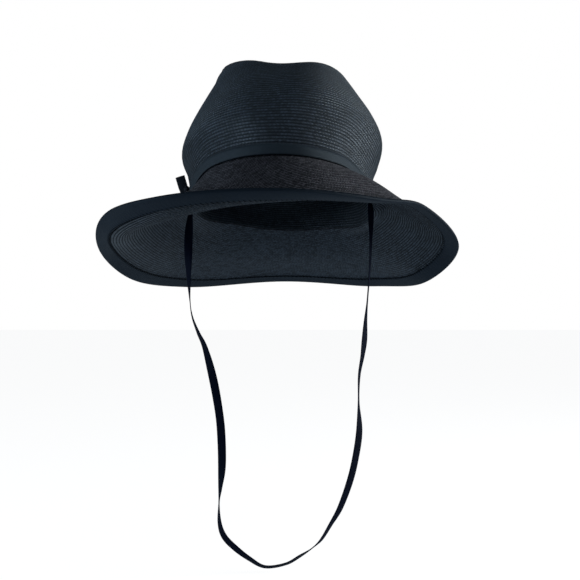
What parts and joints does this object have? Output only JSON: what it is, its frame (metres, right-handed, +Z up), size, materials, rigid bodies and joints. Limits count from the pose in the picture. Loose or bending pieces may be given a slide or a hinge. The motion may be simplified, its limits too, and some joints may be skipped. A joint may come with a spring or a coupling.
{
  "type": "floppy hat with chin strap",
  "caption": "Floppy hat of sewn straw braid with a soft crown, a wide drooping brim, a ribbon-faced rim, a hat band and a hanging ribbon chin strap.",
  "frame": {"origin": "middle of the head opening, at the seam between crown and brim", "axes": "+Z up as worn, -Y to the front of the hat, +X to the viewer's right; the hat is tilted back 14 degrees about X"},
  "size_m": [0.3077, 0.3622, 0.4454],
  "materials": {
    "straw_braid": "fine sewn braid, dark blue-black, soft gloss",
    "facing_ribbon": "ribbed ribbon, matt, stitched along its inner edge",
    "band_ribbon": "fine woven ribbon, low sheen",
    "velvet_ribbon": "black velvet",
    "strap_ribbon": "black woven ribbon, soft sheen"
  },
  "bodies": {
    "root": {"crown": "straw_braid", "brim": "straw_braid", "rim_facing": "facing_ribbon", "hat_band": "band_ribbon", "band_knot": "velvet_ribbon", "band_tail": "velvet_ribbon", "chin_strap": "strap_ribbon"}
  },
  "joints": []
}
